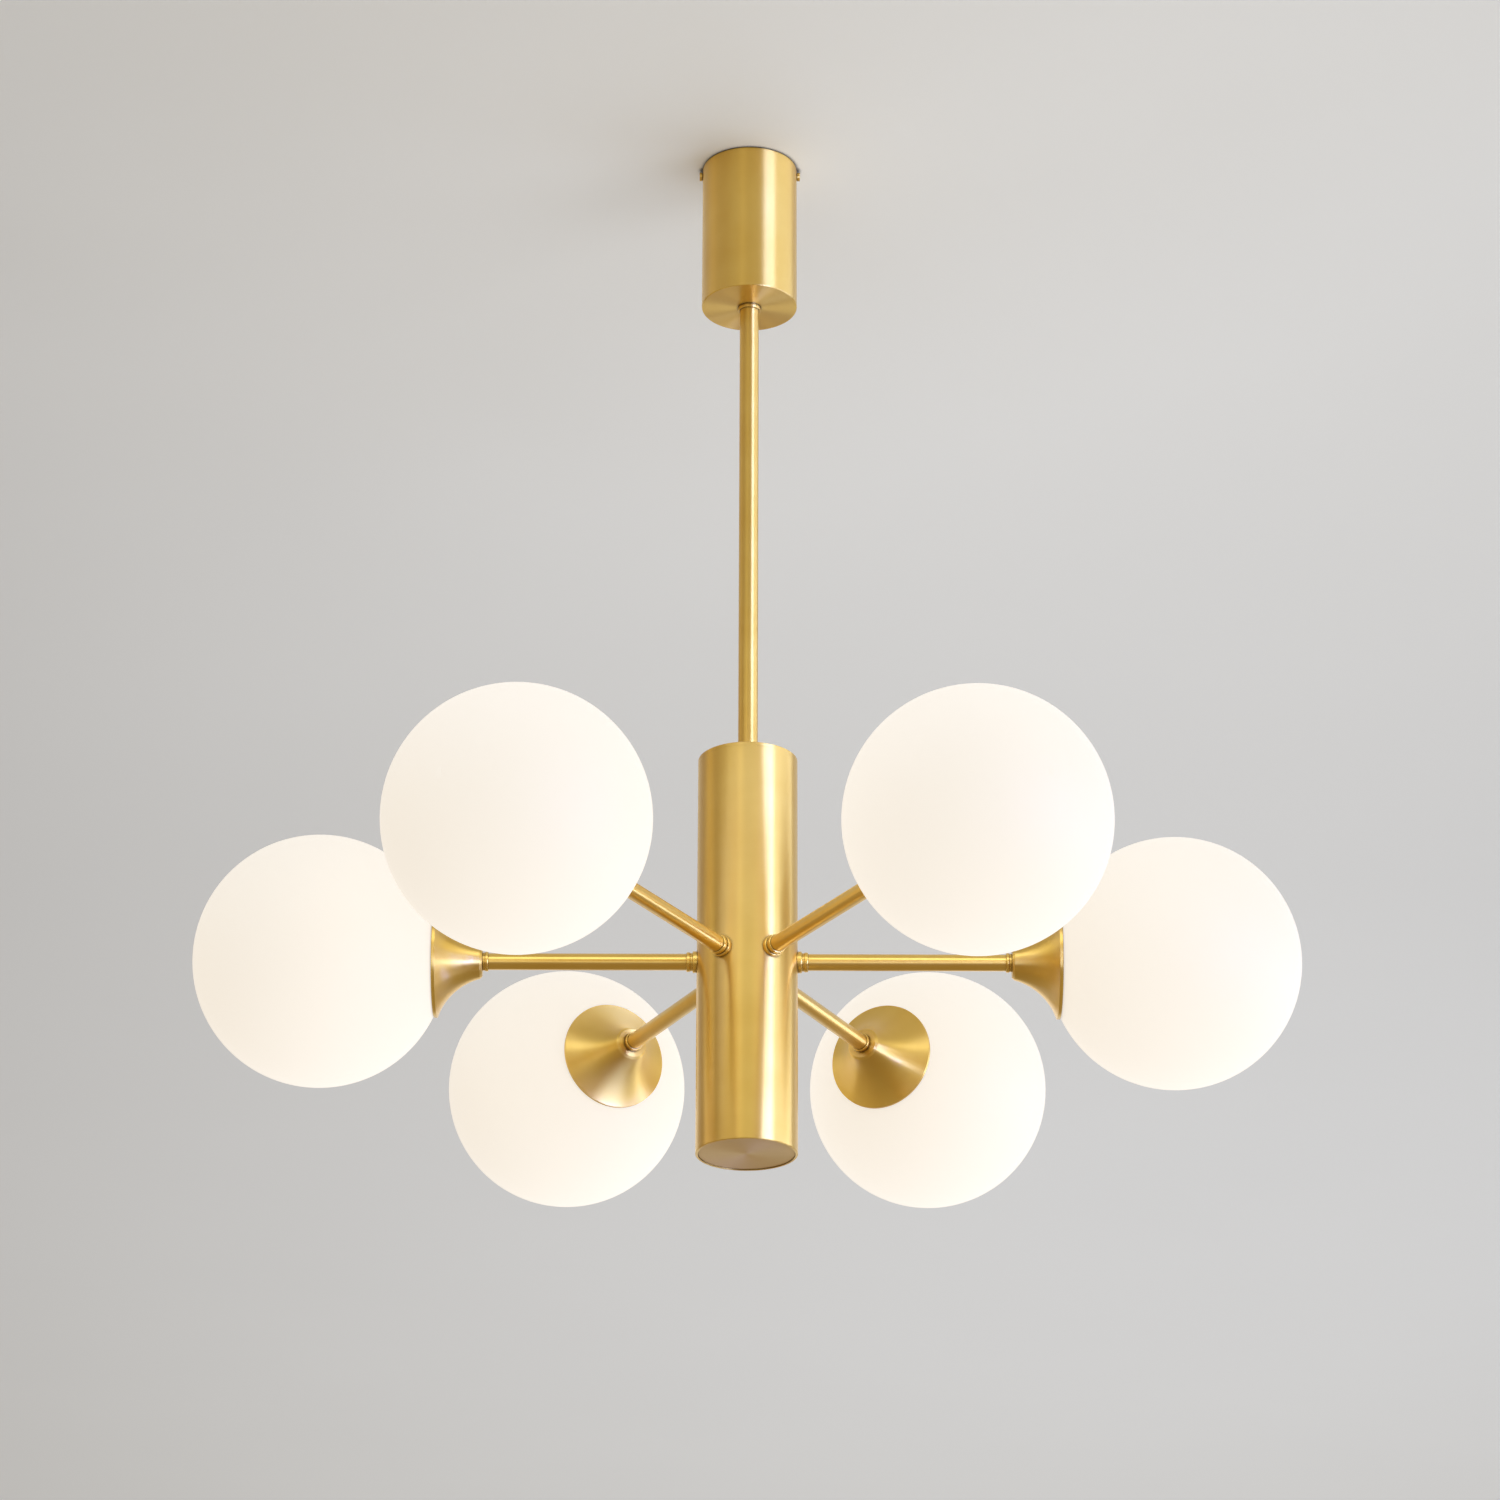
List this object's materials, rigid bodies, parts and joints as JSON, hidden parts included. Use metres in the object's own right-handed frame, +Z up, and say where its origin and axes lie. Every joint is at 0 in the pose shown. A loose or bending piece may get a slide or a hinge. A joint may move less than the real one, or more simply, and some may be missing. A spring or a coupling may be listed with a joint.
{
  "type": "branch chandelier",
  "caption": "Branch chandelier: a rod under a cylindrical canopy carries a tubular body, whose level arms end in trumpet cups that hold opal globes.",
  "frame": {"origin": "centre of the two ceiling slots, on the plane of the ceiling", "axes": "+Z up into the ceiling, +X along the line of the ceiling slots to the viewer's right, +Y to the back"},
  "size_m": [0.657, 0.5954, 0.662],
  "materials": {
    "satin_brass": "satin, lacquered",
    "dull_brass": "matt, unpolished",
    "zinc_steel": "bright zinc plated",
    "opal_glass": "opal, satin",
    "bulb_glass": "frosted",
    "white_ceramic": "glazed ceramic",
    "silicone": "soft, matt",
    "white_plastic": "moulded",
    "lead_sheath": "smooth sheath"
  },
  "bodies": {
    "root": {"ceiling_plate": "zinc_steel", "earth_screw": "satin_brass", "terminal_block": "white_plastic", "terminal_block_screw": "zinc_steel", "terminal_screws": "zinc_steel", "rod_top_nipple": "zinc_steel", "rod_top_nut": "zinc_steel", "down_rod": "satin_brass", "rod_bottom_nipple": "zinc_steel", "rod_bottom_washer": "zinc_steel", "rod_bottom_nut": "zinc_steel", "body_top_cap": "satin_brass", "body_tube": "satin_brass", "body_bottom_cap": "dull_brass", "arm_seat_collars": "satin_brass", "arm_lock_nuts": "zinc_steel", "cup_ferrules": "satin_brass", "cup_lock_nuts": "zinc_steel", "globe_sockets": "zinc_steel", "lampholders": "white_ceramic", "supply_lead": "lead_sheath", "splice_block": "white_plastic", "arm_leads": "lead_sheath", "arm_1": "satin_brass", "arm_2": "satin_brass", "arm_3": "satin_brass", "arm_4": "satin_brass", "arm_5": "satin_brass", "arm_6": "satin_brass", "cup_1": "satin_brass", "cup_2": "satin_brass", "cup_3": "satin_brass", "cup_4": "satin_brass", "cup_5": "satin_brass", "cup_6": "satin_brass"},
    "canopy": {"canopy": "satin_brass", "canopy_collar": "satin_brass", "canopy_collar_nut": "zinc_steel", "canopy_screw_bushes": "zinc_steel"},
    "canopy_screw_right": {"canopy_screw_right": "satin_brass"},
    "canopy_screw_left": {"canopy_screw_left": "satin_brass"},
    "gasket_1": {"gasket_1": "silicone"},
    "globe_1": {"globe_1": "opal_glass"},
    "bulb_1": {"bulb_1": "bulb_glass"},
    "gasket_2": {"gasket_2": "silicone"},
    "globe_2": {"globe_2": "opal_glass"},
    "bulb_2": {"bulb_2": "bulb_glass"},
    "gasket_3": {"gasket_3": "silicone"},
    "globe_3": {"globe_3": "opal_glass"},
    "bulb_3": {"bulb_3": "bulb_glass"},
    "gasket_4": {"gasket_4": "silicone"},
    "globe_4": {"globe_4": "opal_glass"},
    "bulb_4": {"bulb_4": "bulb_glass"},
    "gasket_5": {"gasket_5": "silicone"},
    "globe_5": {"globe_5": "opal_glass"},
    "bulb_5": {"bulb_5": "bulb_glass"},
    "gasket_6": {"gasket_6": "silicone"},
    "globe_6": {"globe_6": "opal_glass"},
    "bulb_6": {"bulb_6": "bulb_glass"}
  },
  "joints": [
    {"name": "canopy_drop", "type": "slide", "parent": "root", "child": "canopy", "axis": [0, 0, -1], "range_m": [0, 0.3]},
    {"name": "canopy_screw_right_back_off", "type": "slide", "parent": "canopy", "child": "canopy_screw_right", "axis": [1, 0, 0], "range_m": [0, 0.003]},
    {"name": "canopy_screw_left_back_off", "type": "slide", "parent": "canopy", "child": "canopy_screw_left", "axis": [-1, 0, 0], "range_m": [0, 0.003]},
    {"name": "globe_1_advance", "type": "slide", "parent": "root", "child": "gasket_1", "axis": [1, 0, 0], "range_m": [0, 0.006]},
    {"name": "globe_1_turn", "type": "hinge", "parent": "gasket_1", "child": "globe_1", "pos_m": [0.2535, 0, -0.542], "axis": [1, 0, 0], "range_deg": [0, 720]},
    {"name": "bulb_1_pull", "type": "slide", "parent": "root", "child": "bulb_1", "axis": [1, 0, 0], "range_m": [0, 0.013]},
    {"name": "globe_2_advance", "type": "slide", "parent": "root", "child": "gasket_2", "axis": [0.454, 0.891, 0], "range_m": [0, 0.006]},
    {"name": "globe_2_turn", "type": "hinge", "parent": "gasket_2", "child": "globe_2", "pos_m": [0.11509, 0.22587, -0.542], "axis": [0.454, 0.891, 0], "range_deg": [0, 720]},
    {"name": "bulb_2_pull", "type": "slide", "parent": "root", "child": "bulb_2", "axis": [0.454, 0.891, 0], "range_m": [0, 0.013]},
    {"name": "globe_3_advance", "type": "slide", "parent": "root", "child": "gasket_3", "axis": [-0.454, 0.891, 0], "range_m": [0, 0.006]},
    {"name": "globe_3_turn", "type": "hinge", "parent": "gasket_3", "child": "globe_3", "pos_m": [-0.11509, 0.22587, -0.542], "axis": [-0.454, 0.891, 0], "range_deg": [0, 720]},
    {"name": "bulb_3_pull", "type": "slide", "parent": "root", "child": "bulb_3", "axis": [-0.454, 0.891, 0], "range_m": [0, 0.013]},
    {"name": "globe_4_advance", "type": "slide", "parent": "root", "child": "gasket_4", "axis": [-1, 0, 0], "range_m": [0, 0.006]},
    {"name": "globe_4_turn", "type": "hinge", "parent": "gasket_4", "child": "globe_4", "pos_m": [-0.2535, 0, -0.542], "axis": [-1, 0, 0], "range_deg": [0, 720]},
    {"name": "bulb_4_pull", "type": "slide", "parent": "root", "child": "bulb_4", "axis": [-1, 0, 0], "range_m": [0, 0.013]},
    {"name": "globe_5_advance", "type": "slide", "parent": "root", "child": "gasket_5", "axis": [-0.5, -0.866, 0], "range_m": [0, 0.006]},
    {"name": "globe_5_turn", "type": "hinge", "parent": "gasket_5", "child": "globe_5", "pos_m": [-0.12675, -0.21954, -0.542], "axis": [-0.5, -0.866, 0], "range_deg": [0, 720]},
    {"name": "bulb_5_pull", "type": "slide", "parent": "root", "child": "bulb_5", "axis": [-0.5, -0.866, 0], "range_m": [0, 0.013]},
    {"name": "globe_6_advance", "type": "slide", "parent": "root", "child": "gasket_6", "axis": [0.5, -0.866, 0], "range_m": [0, 0.006]},
    {"name": "globe_6_turn", "type": "hinge", "parent": "gasket_6", "child": "globe_6", "pos_m": [0.12675, -0.21954, -0.542], "axis": [0.5, -0.866, 0], "range_deg": [0, 720]},
    {"name": "bulb_6_pull", "type": "slide", "parent": "root", "child": "bulb_6", "axis": [0.5, -0.866, 0], "range_m": [0, 0.013]}
  ],
  "couplings": [
    {"joint": "globe_1_advance", "follows": "globe_1_turn", "m_per_rad": 0.000477},
    {"joint": "globe_2_advance", "follows": "globe_2_turn", "m_per_rad": 0.000477},
    {"joint": "globe_3_advance", "follows": "globe_3_turn", "m_per_rad": 0.000477},
    {"joint": "globe_4_advance", "follows": "globe_4_turn", "m_per_rad": 0.000477},
    {"joint": "globe_5_advance", "follows": "globe_5_turn", "m_per_rad": 0.000477},
    {"joint": "globe_6_advance", "follows": "globe_6_turn", "m_per_rad": 0.000477}
  ]
}
